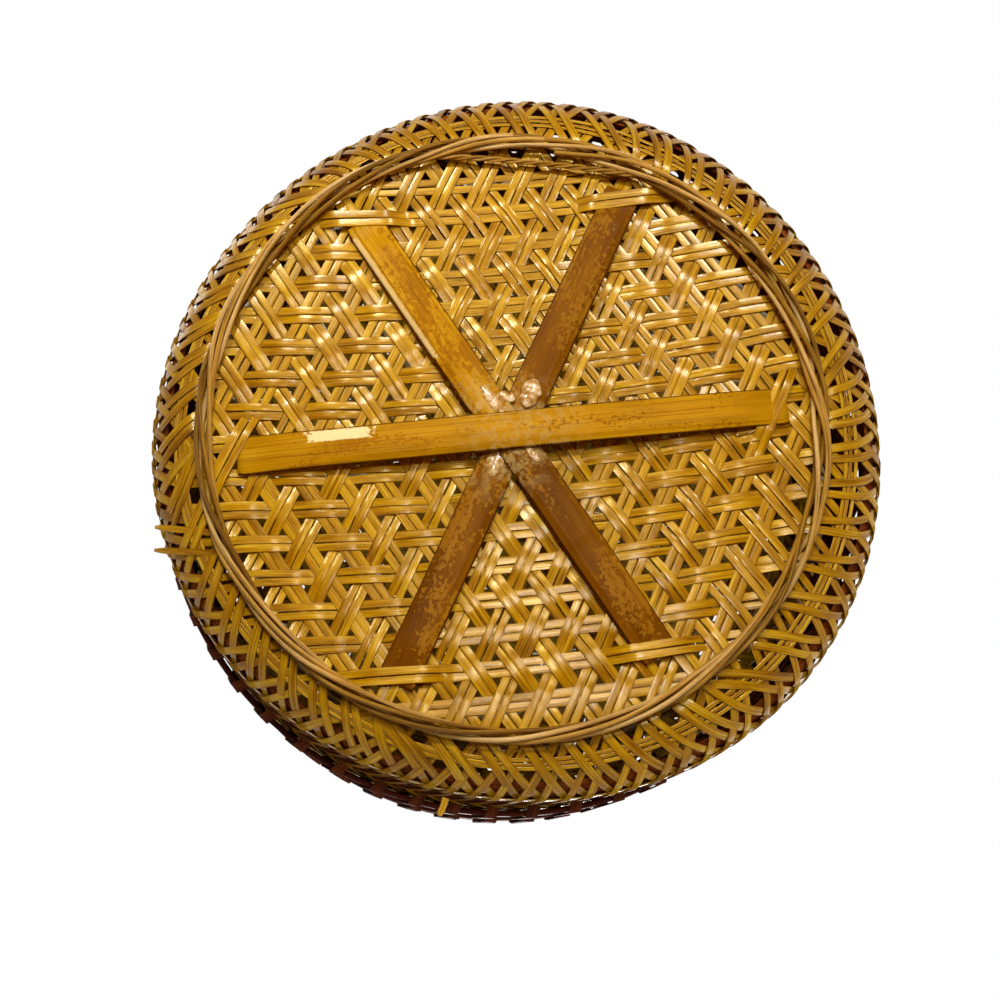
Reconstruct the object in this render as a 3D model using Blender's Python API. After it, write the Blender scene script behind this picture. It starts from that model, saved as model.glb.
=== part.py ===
"""Tiered bamboo food basket: two round woven tiers that stack into each other, and a woven lid.

Each tier is a bowl of woven splints on a foot ring of twisted cane, braced underneath by three crossed
bamboo slats, and finished at the mouth by two bent hoops, a filler cane and a lashing. The lid is a
shallow woven dome with the same kind of rim and a third hoop that drops into the mouth below it.
Lengths are in metres. Z is up, and the origin is the centre of the foot ring on the table.
"""
import math

import bmesh
import bpy
import numpy as np
from mathutils import Matrix, Vector

# How round pieces are faceted: every ring has its corners at the same angles, so that gaps hold all round
SEGMENTS = 36
FACET_TURN = 2 * math.pi / SEGMENTS
FACET_SHARE = math.cos(FACET_TURN / 2)
SMOOTH_ANGLE = math.radians(35)
CANE_SMOOTH_ANGLE = math.radians(65)

# Clearances
FIT_GAP = 0.0003
SLIDE_GAP = 0.0005

# Woven sheet of base, wall and lid
SPLINT_THICKNESS = 0.0008
WEAVE_LAYERS = 3
WEAVE_THICKNESS = SPLINT_THICKNESS * WEAVE_LAYERS
WALL_RADIUS = 0.1475
TIER_HEIGHT = 0.077
BASE_DISH = 0.004
SHOULDER_RISE = 0.014
FOOT_LAND = 0.003
SHEET_SHARES = (0.0, 0.4, 0.75)
FLARE_SHARES = (0.0, 0.09, 0.30, 0.52, 0.72, 0.87, 1.0)

# Bands of fine splints on the flare: where the lower one starts along it, and how wide each is
FLARE_BAND_START = 0.0027
FLARE_BAND_WIDTH = 0.0072
SHOULDER_BAND_WIDTH = 0.0029
BAND_THICKNESS = 0.0006

# Openings of the weave, a plain form of its mesh: how far a corner lies from an opening's middle, the spacing
# of the sheet's grid and how far it stays from the foot ring, and the wall's two rows
MESH_OPENING = 0.0055
MESH_SPACING = 0.032
MESH_MARGIN = 0.010
MESH_CORNERS = 3
WALL_OPENING = 0.0070
WALL_ROW_SPACING = 0.017
WALL_OPENINGS_PER_ROW = 12
WALL_CORNERS = 4

# Foot ring: one long cane that runs round three times and twists about itself, set in from the wall
FOOT_RING_INSET = 0.025
FOOT_CANE_DIAMETER = 0.0024
FOOT_LAY_RADIUS = 0.0019
FOOT_LAPS = 3
FOOT_TWISTS = 16
POINTS_PER_TWIST = 8
FOOT_FLAT_SHARE = 0.1
CANE_END_GAP = 0.003

# Rim of two hoops with a filler cane between them, held by a lashing
HOOP_THICKNESS = 0.0022
HOOP_HEIGHT = 0.013
HOOP_EDGE = 0.0005
RIM_CANE_DIAMETER = 0.0024
RIM_CANE_SIDES = 6
LASHING_THICKNESS = 0.0008
LASHING_WIDTH = 0.005
LASHING_WRAPS = 18
LASHING_OUTER_SHARE = 0.375
LASHING_TOP_SHARE = 0.25
LASHING_END_LIFT = 0.0065

# How a strand's least gap to itself is measured: samples in a width, and how many widths along it are near
SAMPLES_PER_WIDTH = 8
NEAR_WIDTHS = 4

# Slats under each tier: section, how far inside the foot ring each ends, its turn, and how far it lies off
# the axis
SLAT_WIDTH = 0.0152
SLAT_THICKNESS = 0.0022
SLAT_EDGE = 0.0006
SLAT_STATIONS = 10
OUTER_SLAT_STOP = 0.0125
MIDDLE_SLAT_STOP = 0.0155
INNER_SLAT_STOP = 0.0105
OUTER_SLAT_TURN = math.radians(-6.3)
MIDDLE_SLAT_TURN = math.radians(56.3)
INNER_SLAT_TURN = math.radians(114.1)
OUTER_SLAT_OFFSET = -0.0020
MIDDLE_SLAT_OFFSET = -0.0038
INNER_SLAT_OFFSET = 0.0

# Lid
LID_CROWN = 0.010
LID_SKIRT = 0.016
LOCATING_HOOP_DROP = 0.010
LOCATING_HOOP_LIFT = 0.008

# Heights, radii and lengths that follow from the sizes above
FOOT_RING_RADIUS = WALL_RADIUS - FOOT_RING_INSET
OUTER_SLAT_HALF_LENGTH = FOOT_RING_RADIUS - OUTER_SLAT_STOP
MIDDLE_SLAT_HALF_LENGTH = FOOT_RING_RADIUS - MIDDLE_SLAT_STOP
INNER_SLAT_HALF_LENGTH = FOOT_RING_RADIUS - INNER_SLAT_STOP
FOOT_BUNDLE_RADIUS = FOOT_LAY_RADIUS + FOOT_CANE_DIAMETER / 2
FOOT_FLAT_DEPTH = FOOT_CANE_DIAMETER * FOOT_FLAT_SHARE
FOOT_CENTRE = FOOT_BUNDLE_RADIUS - FOOT_FLAT_DEPTH
BASE_HEIGHT = FOOT_CENTRE + FOOT_BUNDLE_RADIUS + FIT_GAP
FLARE_START = FOOT_RING_RADIUS + FOOT_LAND
SPLINT_END = RIM_CANE_DIAMETER + FIT_GAP

OUTER_HOOP_INSIDE = WALL_RADIUS + FIT_GAP
OUTER_HOOP_OUTSIDE = OUTER_HOOP_INSIDE + HOOP_THICKNESS
INNER_HOOP_OUTSIDE = WALL_RADIUS - WEAVE_THICKNESS - FIT_GAP
INNER_HOOP_INSIDE = INNER_HOOP_OUTSIDE - HOOP_THICKNESS
RIM_CANE_RADIUS = WALL_RADIUS - WEAVE_THICKNESS / 2

WRAP_TURN = 2 * math.pi / LASHING_WRAPS
LASHING_LEG_SHARE = math.cos(WRAP_TURN * LASHING_OUTER_SHARE / 2)
LASHING_OUTSIDE = (OUTER_HOOP_OUTSIDE + FIT_GAP) / LASHING_LEG_SHARE
LASHING_INSIDE = INNER_HOOP_INSIDE * FACET_SHARE - FIT_GAP
LASHING_PROUD = FIT_GAP + LASHING_THICKNESS
MOUTH_RADIUS = (LASHING_INSIDE - LASHING_THICKNESS) * LASHING_LEG_SHARE

LOCATING_HOOP_OUTSIDE = MOUTH_RADIUS - SLIDE_GAP
LOCATING_HOOP_INSIDE = LOCATING_HOOP_OUTSIDE - HOOP_THICKNESS


def clear_scene():
    """Removes whatever the file holds at the start."""
    for obj in list(bpy.data.objects):
        bpy.data.objects.remove(obj, do_unlink=True)


def make_material(name, colour, roughness):
    """A plain lacquered or bare bamboo finish."""
    material = bpy.data.materials.new(name)
    material.use_nodes = True
    shader = material.node_tree.nodes["Principled BSDF"]
    shader.inputs["Base Color"].default_value = (*colour, 1.0)
    shader.inputs["Roughness"].default_value = roughness
    shader.inputs["Metallic"].default_value = 0.0
    material.diffuse_color = (*colour, 1.0)
    return material


def add_object(name, mesh, material, carrier):
    """Links a mesh as a named piece that hangs on its tier's or lid's empty."""
    mesh.materials.append(material)
    piece = bpy.data.objects.new(name, mesh)
    piece.parent = carrier
    bpy.context.collection.objects.link(piece)
    return piece


def finish_mesh(mesh_builder, name, smooth_angle=SMOOTH_ANGLE):
    """Turns the faces outwards and writes the bmesh into a new mesh, smooth but for its sharp edges."""
    bmesh.ops.recalc_face_normals(mesh_builder, faces=mesh_builder.faces)
    mesh = bpy.data.meshes.new(name)
    mesh_builder.to_mesh(mesh)
    mesh_builder.free()
    mesh.shade_smooth()
    mesh.set_sharp_from_angle(angle=smooth_angle)
    return mesh


def turned_mesh(name, profile, closed):
    """Spins a profile of (radius, height) points round Z. An open profile starts and ends on the axis."""
    builder = bmesh.new()
    corners = [builder.verts.new((radius, 0.0, height)) for radius, height in profile]
    pairs = list(zip(corners, corners[1:]))
    if closed:
        pairs.append((corners[-1], corners[0]))
    edges = [builder.edges.new(pair) for pair in pairs]
    bmesh.ops.spin(
        builder,
        geom=corners + edges,
        cent=(0.0, 0.0, 0.0),
        axis=(0.0, 0.0, 1.0),
        angle=2 * math.pi,
        steps=SEGMENTS,
        use_merge=True,
    )
    bmesh.ops.remove_doubles(builder, verts=builder.verts, dist=FIT_GAP / SEGMENTS)
    return finish_mesh(builder, name)


def offset_profile(profile, distance):
    """Moves a profile sideways, to the left of its run, with mitred corners."""
    points = np.array(profile)
    runs = np.diff(points, axis=0)
    lengths = np.linalg.norm(runs, axis=1, keepdims=True)
    sides = np.stack([-runs[:, 1], runs[:, 0]], axis=1) / lengths
    before = np.vstack([sides[:1], sides])
    after = np.vstack([sides, sides[-1:]])
    mitre = before + after
    mitre /= np.sum(mitre * after, axis=1, keepdims=True)
    moved = points + mitre * distance
    return [tuple(point) for point in moved]


def sheet_height(radius):
    """Underside of the base sheet, which rises from the foot ring to the middle."""
    share = radius / FLARE_START
    return BASE_HEIGHT + BASE_DISH * (1 - share * share)


def quarter_flare(share, rise):
    """A point of the rounded edge between a flat sheet and a wall, as its run outwards and its rise."""
    turn = share * math.pi / 2
    return (WALL_RADIUS - FLARE_START) * math.sin(turn), rise * (1 - math.cos(turn))


def tier_profile():
    """Outside of the bowl, from the middle of the base to the ends of the wall's splints."""
    profile = [(share * FLARE_START, sheet_height(share * FLARE_START)) for share in SHEET_SHARES]
    for share in FLARE_SHARES:
        out, up = quarter_flare(share, SHOULDER_RISE)
        profile.append((FLARE_START + out, BASE_HEIGHT + up))
    profile.append((WALL_RADIUS, TIER_HEIGHT - SPLINT_END))
    return profile


def lid_profile():
    """Outside of the lid, from the middle of the crown to the ends of its splints at the rim."""
    edge_height = LID_SKIRT + SHOULDER_RISE
    profile = []
    for share in SHEET_SHARES:
        profile.append((share * FLARE_START, edge_height + LID_CROWN * (1 - share * share)))
    for share in FLARE_SHARES:
        out, down = quarter_flare(share, SHOULDER_RISE)
        profile.append((FLARE_START + out, edge_height - down))
    profile.append((WALL_RADIUS, SPLINT_END))
    return profile


def shell_mesh(name, outside, inward):
    """A closed shell of the weave's thickness. Inward is the side of the profile's run that is inside."""
    inside = offset_profile(outside, inward * WEAVE_THICKNESS)
    inside[0] = (0.0, inside[0][1])
    return turned_mesh(name, outside + inside[::-1], closed=False)


def add_lashing_windows(builder, height):
    """Boxes that open the wall under the hoops, one for each pass of the lashing."""
    reach = OUTER_HOOP_OUTSIDE - INNER_HOOP_INSIDE
    wide = LASHING_WIDTH + 2 * FIT_GAP
    tall = LASHING_THICKNESS + 2 * FIT_GAP
    size = Matrix.Diagonal((reach, wide, tall, 1.0))
    place = Matrix.Translation((RIM_CANE_RADIUS, 0.0, height))
    for wrap in range(LASHING_WRAPS):
        turn = Matrix.Rotation(wrap * WRAP_TURN, 4, "Z")
        bmesh.ops.create_cube(builder, size=1.0, matrix=turn @ place @ size)


def add_prism(builder, corners, radius, depth, matrix):
    """A prism with its axis along Z, moved by a matrix."""
    bmesh.ops.create_cone(
        builder,
        cap_ends=True,
        segments=corners,
        radius1=radius,
        radius2=radius,
        depth=depth,
        matrix=matrix,
    )


def add_sheet_openings(builder, edge_height, rise):
    """A grid of three-sided openings through the sheet inside the foot ring, in line with the slats."""
    limit = FOOT_RING_RADIUS - MESH_MARGIN - MESH_OPENING
    count = math.ceil(limit / MESH_SPACING) + 1
    row_height = MESH_SPACING * math.sqrt(3) / 2
    for row in range(-count, count + 1):
        for step in range(-2 * count, 2 * count + 1):
            x, y = (step + row / 2) * MESH_SPACING, row * row_height
            if math.hypot(x, y) > limit:
                continue
            turn = Matrix.Rotation(OUTER_SLAT_TURN, 4, "Z")
            place = Matrix.Translation((x, y, edge_height + rise / 2))
            add_prism(builder, MESH_CORNERS, MESH_OPENING, 2 * (rise + WEAVE_THICKNESS), turn @ place)


def add_wall_openings(builder):
    """Two rows of four-sided openings through a tier's wall, each row half a step on from the other."""
    middle = (BASE_HEIGHT + SHOULDER_RISE + TIER_HEIGHT - HOOP_HEIGHT) / 2
    lay_flat = Matrix.Rotation(math.pi / 2, 4, "Y")
    step_turn = 2 * math.pi / WALL_OPENINGS_PER_ROW
    for row in range(2):
        height = middle + (row - 1 / 2) * WALL_ROW_SPACING
        place = Matrix.Translation((WALL_RADIUS, 0.0, height))
        for opening in range(WALL_OPENINGS_PER_ROW):
            turn = Matrix.Rotation((opening + row / 2 + 1 / 4) * step_turn, 4, "Z")
            add_prism(builder, WALL_CORNERS, WALL_OPENING, 2 * WALL_OPENING, turn @ place @ lay_flat)


def add_cutter(name, builder, carrier):
    """Writes the cutters into one hidden object."""
    mesh = bpy.data.meshes.new(name)
    builder.to_mesh(mesh)
    builder.free()
    cutter = bpy.data.objects.new(name, mesh)
    cutter.parent = carrier
    cutter.hide_render = True
    cutter.display_type = "WIRE"
    bpy.context.collection.objects.link(cutter)
    return cutter


def weave_shell(name, shell, builder, rim_edge, away, material, carrier):
    """The woven sheet with its openings, and a window under the hoops for each pass of the lashing."""
    sheet = add_object(name, shell, material, carrier)
    depth = HOOP_HEIGHT + FIT_GAP + LASHING_THICKNESS / 2
    add_lashing_windows(builder, rim_edge + away * depth)
    cut = sheet.modifiers.new("openings", "BOOLEAN")
    cut.operation = "DIFFERENCE"
    cut.solver = "EXACT"
    cut.object = add_cutter(name + "_openings", builder, carrier)
    return sheet


def tier_weave(name, profile, material, carrier):
    """A bowl's sheet, open like mesh in its base and its wall."""
    builder = bmesh.new()
    add_sheet_openings(builder, BASE_HEIGHT, BASE_DISH)
    add_wall_openings(builder)
    return weave_shell(name, shell_mesh(name, profile, 1), builder, TIER_HEIGHT, -1, material, carrier)


def lid_weave(name, profile, material, carrier):
    """The lid's sheet, open like mesh in its crown."""
    builder = bmesh.new()
    add_sheet_openings(builder, LID_SKIRT + SHOULDER_RISE, LID_CROWN)
    return weave_shell(name, shell_mesh(name, profile, -1), builder, 0.0, 1, material, carrier)


def flare_runs(profile):
    """How far each corner of a profile lies along it from the start of its flare, and where the flare ends."""
    legs = np.linalg.norm(np.diff(profile, axis=0), axis=1)
    runs = np.concatenate([[0.0], np.cumsum(legs)])
    first = len(SHEET_SHARES)
    runs = runs - runs[first]
    return runs, runs[first + len(FLARE_SHARES) - 1]


def band_on_profile(name, profile, places, outward, material, carrier):
    """A flat band of fine splints on the outside of the weave, between two places along the flare."""
    runs, _ = flare_runs(profile)
    cuts = np.unique(np.concatenate([runs, places]))
    corners = np.stack([np.interp(cuts, runs, side) for side in np.array(profile).T], axis=1)
    first, last = np.searchsorted(cuts, places)
    near = offset_profile(corners, outward * FIT_GAP)[first : last + 1]
    far = offset_profile(corners, outward * (FIT_GAP + BAND_THICKNESS))[first : last + 1]
    return add_object(name, turned_mesh(name, near + far[::-1], closed=True), material, carrier)


def flare_band(name, profile, outward, material, carrier):
    """The wider band, low on the flare."""
    places = (FLARE_BAND_START, FLARE_BAND_START + FLARE_BAND_WIDTH)
    return band_on_profile(name, profile, places, outward, material, carrier)


def shoulder_band(name, profile, outward, material, carrier):
    """The narrow band where the flare meets the wall."""
    _, flare_end = flare_runs(profile)
    places = (flare_end - SHOULDER_BAND_WIDTH, flare_end)
    return band_on_profile(name, profile, places, outward, material, carrier)


def hoop(name, inside, outside, low, high, material, carrier):
    """A bent strip of bamboo with its four long edges taken off."""
    profile = [
        (inside + HOOP_EDGE, low),
        (outside - HOOP_EDGE, low),
        (outside, low + HOOP_EDGE),
        (outside, high - HOOP_EDGE),
        (outside - HOOP_EDGE, high),
        (inside + HOOP_EDGE, high),
        (inside, high - HOOP_EDGE),
        (inside, low + HOOP_EDGE),
    ]
    return add_object(name, turned_mesh(name, profile, closed=True), material, carrier)


def rim_cane(name, height, material, carrier):
    """The round filler cane that covers the splints' ends between the hoops."""
    profile = []
    for side in range(RIM_CANE_SIDES):
        turn = 2 * math.pi * (side + 0.5) / RIM_CANE_SIDES
        out = RIM_CANE_DIAMETER / 2 * math.cos(turn)
        up = RIM_CANE_DIAMETER / 2 * math.sin(turn)
        profile.append((RIM_CANE_RADIUS + out, height + up))
    return add_object(name, turned_mesh(name, profile, closed=True), material, carrier)


def lashing_route():
    """Corners of the lashing as (turn, side, depth): side is 1 outside the rim and 0 inside it, and depth is
    1 below the hoops and 0 over their free edge. The strand ends short of its own start."""
    route = []
    for wrap in range(LASHING_WRAPS):
        start = wrap * WRAP_TURN
        outer_end = start + WRAP_TURN * LASHING_OUTER_SHARE
        inner_start = outer_end + WRAP_TURN * LASHING_TOP_SHARE
        route += [(start, 0, 1), (start, 1, 1), (outer_end, 1, 0), (inner_start, 0, 0)]
    leg = HOOP_HEIGHT + 2 * FIT_GAP
    left_share = 1 - LASHING_END_LIFT / leg
    last_turn = route[-1][0] + (2 * math.pi - route[-1][0]) * left_share
    route.append((last_turn, 0, left_share))
    return route


def lashing(name, edge, away, material, carrier):
    """A flat strip wound round the hoops: under them, up outside, over the edge and down inside."""
    builder = bmesh.new()
    rows = []
    for turn, side, depth in lashing_route():
        outward = Vector((math.cos(turn), math.sin(turn), 0.0))
        along = Vector((-math.sin(turn), math.cos(turn), 0.0)) * LASHING_WIDTH / 2
        radius = LASHING_OUTSIDE if side else LASHING_INSIDE
        height = -FIT_GAP + depth * (HOOP_HEIGHT + 2 * FIT_GAP)
        out_step = LASHING_THICKNESS if side else -LASHING_THICKNESS
        down_step = 0.0
        if depth in (0, 1):
            down_step = LASHING_THICKNESS if depth else -LASHING_THICKNESS
        near = outward * radius + Vector((0.0, 0.0, edge + away * height))
        far = outward * (radius + out_step) + Vector((0.0, 0.0, edge + away * (height + down_step)))
        rows.append([builder.verts.new(at) for at in (near - along, near + along, far + along, far - along)])
    skin_rows(builder, rows)
    centres = [sum((vert.co for vert in row), Vector()) / len(row) for row in rows]
    mesh = finish_mesh(builder, name)
    print(f"{name}: least gap to itself {least_gap(centres, LASHING_WIDTH) * 1000:.2f} mm")
    return add_object(name, mesh, material, carrier)


def skin_rows(builder, rows):
    """Faces between successive rows of corners, and a cap at each end."""
    for here, there in zip(rows, rows[1:]):
        for corner, _ in enumerate(here):
            after = (corner + 1) % len(here)
            builder.faces.new((here[corner], here[after], there[after], there[corner]))
    builder.faces.new(rows[0][::-1])
    builder.faces.new(rows[-1])


def least_gap(centres, width):
    """Least distance between stretches of a strand that aren't next to each other along it, less its width.
    The route is sampled finely, and points that lie near along the strand are left out."""
    route = np.array([tuple(point) for point in centres])
    legs = np.linalg.norm(np.diff(route, axis=0), axis=1)
    run = np.concatenate([[0.0], np.cumsum(legs)])
    places = np.arange(0.0, run[-1], width / SAMPLES_PER_WIDTH)
    points = np.stack([np.interp(places, run, route[:, axis]) for axis in range(3)], axis=1)
    least = math.inf
    for place, point in zip(places, points):
        others = points[places > place + NEAR_WIDTHS * width]
        if len(others):
            least = min(least, float(np.linalg.norm(others - point, axis=1).min()))
    return least - width


def foot_ring_route():
    """Points of the foot cane: it runs round the ring while it turns about the ring's own centre line."""
    steps = FOOT_TWISTS * POINTS_PER_TWIST
    end_turn = 2 * math.pi * FOOT_LAPS
    turns = np.linspace(0.0, end_turn, steps + 1)
    turns[-1] -= CANE_END_GAP / FOOT_RING_RADIUS
    lay = turns * FOOT_TWISTS / FOOT_LAPS
    radius = FOOT_RING_RADIUS + FOOT_LAY_RADIUS * np.sin(lay)
    height = FOOT_CENTRE - FOOT_LAY_RADIUS * np.cos(lay)
    return np.stack([radius * np.cos(turns), radius * np.sin(turns), height], axis=1)


def foot_ring(name, material, carrier):
    """The twisted cane ring that the tier stands on, cut flat where it meets the table."""
    route = foot_ring_route()
    curve = bpy.data.curves.new(name + "_route", "CURVE")
    curve.dimensions = "3D"
    curve.twist_mode = "Z_UP"
    curve.bevel_depth = FOOT_CANE_DIAMETER / 2
    curve.bevel_resolution = 1
    curve.use_fill_caps = True
    spline = curve.splines.new("POLY")
    spline.points.add(len(route) - 1)
    for point, place in zip(spline.points, route):
        point.co = (*place, 1.0)
    guide = bpy.data.objects.new(name + "_route", curve)
    bpy.context.collection.objects.link(guide)
    tube = bpy.data.meshes.new_from_object(guide.evaluated_get(bpy.context.evaluated_depsgraph_get()))
    bpy.data.objects.remove(guide, do_unlink=True)
    builder = bmesh.new()
    builder.from_mesh(tube)
    bmesh.ops.remove_doubles(builder, verts=builder.verts, dist=FIT_GAP / SEGMENTS)
    lowest = min(vert.co.z for vert in builder.verts)
    bmesh.ops.translate(builder, verts=builder.verts, vec=(0.0, 0.0, -FOOT_FLAT_DEPTH - lowest))
    whole = builder.verts[:] + builder.edges[:] + builder.faces[:]
    bmesh.ops.bisect_plane(
        builder, geom=whole, plane_co=(0.0, 0.0, 0.0), plane_no=(0.0, 0.0, -1.0), clear_outer=True
    )
    open_edges = [edge for edge in builder.edges if edge.is_boundary]
    bmesh.ops.holes_fill(builder, edges=open_edges, sides=0)
    mesh = finish_mesh(builder, name, smooth_angle=CANE_SMOOTH_ANGLE)
    print(f"{name}: least gap to itself {least_gap(route, FOOT_CANE_DIAMETER) * 1000:.2f} mm")
    return add_object(name, mesh, material, carrier)


def slat(name, half_length, turn, offset, end_top, middle_top, material, carrier):
    """A split bamboo slat, skin side down, bowed between its two tucked ends and the crossing."""
    builder = bmesh.new()
    half = SLAT_WIDTH / 2
    section = [
        (-half, 0.0),
        (-half, SLAT_EDGE - SLAT_THICKNESS),
        (SLAT_EDGE - half, -SLAT_THICKNESS),
        (half - SLAT_EDGE, -SLAT_THICKNESS),
        (half, SLAT_EDGE - SLAT_THICKNESS),
        (half, 0.0),
    ]
    along = Vector((math.cos(turn), math.sin(turn), 0.0))
    across = Vector((-math.sin(turn), math.cos(turn), 0.0))
    rows = []
    for station in range(SLAT_STATIONS + 1):
        share = 2 * station / SLAT_STATIONS - 1
        top = end_top + (middle_top - end_top) * (1 - share * share)
        centre = along * half_length * share + across * offset + Vector((0.0, 0.0, top))
        rows.append([builder.verts.new(centre + across * side + Vector((0.0, 0.0, down))) for side, down in section])
    skin_rows(builder, rows)
    return add_object(name, finish_mesh(builder, name), material, carrier)


def crossed_slats(prefix, material, carrier):
    """The inner slat follows the base, the middle one crosses under it, and the outer one under both."""
    tops = sheet_height(0.0) - FIT_GAP
    slats = (
        ("inner", INNER_SLAT_HALF_LENGTH, INNER_SLAT_TURN, INNER_SLAT_OFFSET),
        ("middle", MIDDLE_SLAT_HALF_LENGTH, MIDDLE_SLAT_TURN, MIDDLE_SLAT_OFFSET),
        ("outer", OUTER_SLAT_HALF_LENGTH, OUTER_SLAT_TURN, OUTER_SLAT_OFFSET),
    )
    for place, half_length, turn, offset in slats:
        end_top = sheet_height(half_length) - FIT_GAP
        slat(f"{prefix}_slat_{place}", half_length, turn, offset, end_top, tops, material, carrier)
        tops -= SLAT_THICKNESS + FIT_GAP


def rim(prefix, edge, away, finishes, carrier):
    """Hoops, filler cane and lashing of a mouth. Edge is the rim's free edge, and away points off it."""
    low, high = sorted((edge, edge + away * HOOP_HEIGHT))
    hoop(f"{prefix}_hoop_outer", OUTER_HOOP_INSIDE, OUTER_HOOP_OUTSIDE, low, high, finishes["hoop"], carrier)
    hoop(f"{prefix}_hoop_inner", INNER_HOOP_INSIDE, INNER_HOOP_OUTSIDE, low, high, finishes["hoop"], carrier)
    rim_cane(f"{prefix}_rim_cane", edge + away * RIM_CANE_DIAMETER / 2, finishes["cane"], carrier)
    lashing(f"{prefix}_rim_lashing", edge, away, finishes["lashing"], carrier)


def carrier_at(name, height):
    """An empty on the basket's axis, at the foot of the group of pieces that it carries."""
    empty = bpy.data.objects.new(name, None)
    empty.location = (0.0, 0.0, height)
    bpy.context.collection.objects.link(empty)
    return empty


def make_tier(prefix, height, finishes):
    """One bowl with its foot ring, slats, bands and rim."""
    carrier = carrier_at(prefix + "_tier", height)
    profile = tier_profile()
    tier_weave(f"{prefix}_weave", profile, finishes["splint"], carrier)
    foot_ring(f"{prefix}_foot_ring", finishes["cane"], carrier)
    crossed_slats(prefix, finishes["slat"], carrier)
    flare_band(f"{prefix}_flare_band", profile, -1, finishes["splint"], carrier)
    shoulder_band(f"{prefix}_shoulder_band", profile, -1, finishes["splint"], carrier)
    rim(prefix, TIER_HEIGHT, -1, finishes, carrier)


def make_lid(height, finishes):
    """The woven dome with its rim, and the hoop that drops into the mouth below."""
    carrier = carrier_at("lid_carrier", height)
    profile = lid_profile()
    lid_weave("lid_weave", profile, finishes["splint"], carrier)
    shoulder_band("lid_shoulder_band", profile, 1, finishes["splint"], carrier)
    rim("lid", 0.0, 1, finishes, carrier)
    hoop(
        "lid_locating_hoop",
        LOCATING_HOOP_INSIDE,
        LOCATING_HOOP_OUTSIDE,
        -LOCATING_HOOP_DROP,
        LOCATING_HOOP_LIFT,
        finishes["hoop"],
        carrier,
    )


def seat_height():
    """How far up a tier's own flare the rim below it touches, and the clearance straight up that keeps the gap."""
    inner_edge = LASHING_INSIDE - LASHING_THICKNESS
    radii, heights = np.array(tier_profile()[:-1]).T
    touch = float(np.interp(inner_edge, radii, heights))
    above = int(np.searchsorted(radii, inner_edge))
    run = radii[above] - radii[above - 1]
    rise = heights[above] - heights[above - 1]
    return touch, FIT_GAP * math.hypot(run, rise) / run


def main():
    clear_scene()
    finishes = {
        "splint": make_material("lacquered_splint", (0.60, 0.29, 0.02), 0.25),
        "slat": make_material("lacquered_slat", (0.36, 0.13, 0.01), 0.30),
        "cane": make_material("bare_cane", (0.58, 0.31, 0.08), 0.40),
        "hoop": make_material("stained_hoop", (0.17, 0.04, 0.01), 0.30),
        "lashing": make_material("cane_lashing", (0.50, 0.24, 0.05), 0.35),
    }
    touch, clearance = seat_height()
    rim_top = TIER_HEIGHT + LASHING_PROUD
    upper_height = rim_top + clearance - touch
    lid_height = upper_height + rim_top + FIT_GAP + LASHING_PROUD
    make_tier("lower", 0.0, finishes)
    make_tier("upper", upper_height, finishes)
    make_lid(lid_height, finishes)
    bpy.context.view_layer.update()
    print(f"upper tier stands at {upper_height * 1000:.2f} mm, the lid's rim at {lid_height * 1000:.2f} mm")
    print(f"free mouth radius {MOUTH_RADIUS * 1000:.2f} mm")


main()
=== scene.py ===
import math

import bpy
import numpy as np
from mathutils import Matrix, Vector


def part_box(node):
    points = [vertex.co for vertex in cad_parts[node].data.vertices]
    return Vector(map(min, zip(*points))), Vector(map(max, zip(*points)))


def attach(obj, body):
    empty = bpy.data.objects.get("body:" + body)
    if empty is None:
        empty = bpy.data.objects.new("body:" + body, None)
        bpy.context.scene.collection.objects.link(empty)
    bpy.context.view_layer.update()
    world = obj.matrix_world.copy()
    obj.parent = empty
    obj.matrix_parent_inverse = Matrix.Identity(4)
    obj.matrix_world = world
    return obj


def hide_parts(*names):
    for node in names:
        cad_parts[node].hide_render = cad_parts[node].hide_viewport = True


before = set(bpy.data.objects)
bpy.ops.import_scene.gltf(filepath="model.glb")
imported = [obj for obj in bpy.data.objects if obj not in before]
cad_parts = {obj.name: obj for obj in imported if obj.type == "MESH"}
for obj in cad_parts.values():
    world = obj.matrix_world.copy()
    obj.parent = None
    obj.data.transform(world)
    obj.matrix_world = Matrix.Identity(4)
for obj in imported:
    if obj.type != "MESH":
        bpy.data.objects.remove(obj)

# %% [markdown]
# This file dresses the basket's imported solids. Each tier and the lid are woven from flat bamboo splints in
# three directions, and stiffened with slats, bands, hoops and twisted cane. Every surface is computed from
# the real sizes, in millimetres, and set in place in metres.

MM = 0.001
ROUND = 2 * math.pi
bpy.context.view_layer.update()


def box_mm(node):
    """The lowest and the highest corner of a solid of the frame, in millimetres."""
    low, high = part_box(node)
    return np.array(low) / MM, np.array(high) / MM


# Sheet and base, as the solids have them
WALL_RADIUS = box_mm("lower_weave")[1][0]
BASE_EDGE_Z = box_mm("lower_weave")[0][2]
RIM_Z = box_mm("lower_weave")[1][2]
TIER_STEP = box_mm("upper_weave")[0][2] - BASE_EDGE_Z
FOOT_RADIUS = WALL_RADIUS - 25.0
BASE_RADIUS = FOOT_RADIUS + 3.0
SHEET = 2.4
DISH = 4.0
FLARE_RISE = 14.0
LID_LOW_Z, LID_HIGH_Z = box_mm("lid_weave")[0][2], box_mm("lid_weave")[1][2]
LID_CROWN = 10.0
LID_SKIRT = 16.0

# The weave: rows of two splints in three directions
PITCH = 13.45
LAST_ROW = 8
LATTICE_CENTRE = np.array([1.6, -1.2])
FAMILY_ANGLES = np.radians([-6.0, 54.0, 114.0])
SPLINT_WIDTH = 3.3
SPLINT_THICKNESS = 0.5
PAIR_HALF = 1.78
WAVE = 0.62

print("tier wall", round(WALL_RADIUS, 2), "step", round(TIER_STEP, 2), "rim", round(RIM_Z, 2))

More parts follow.
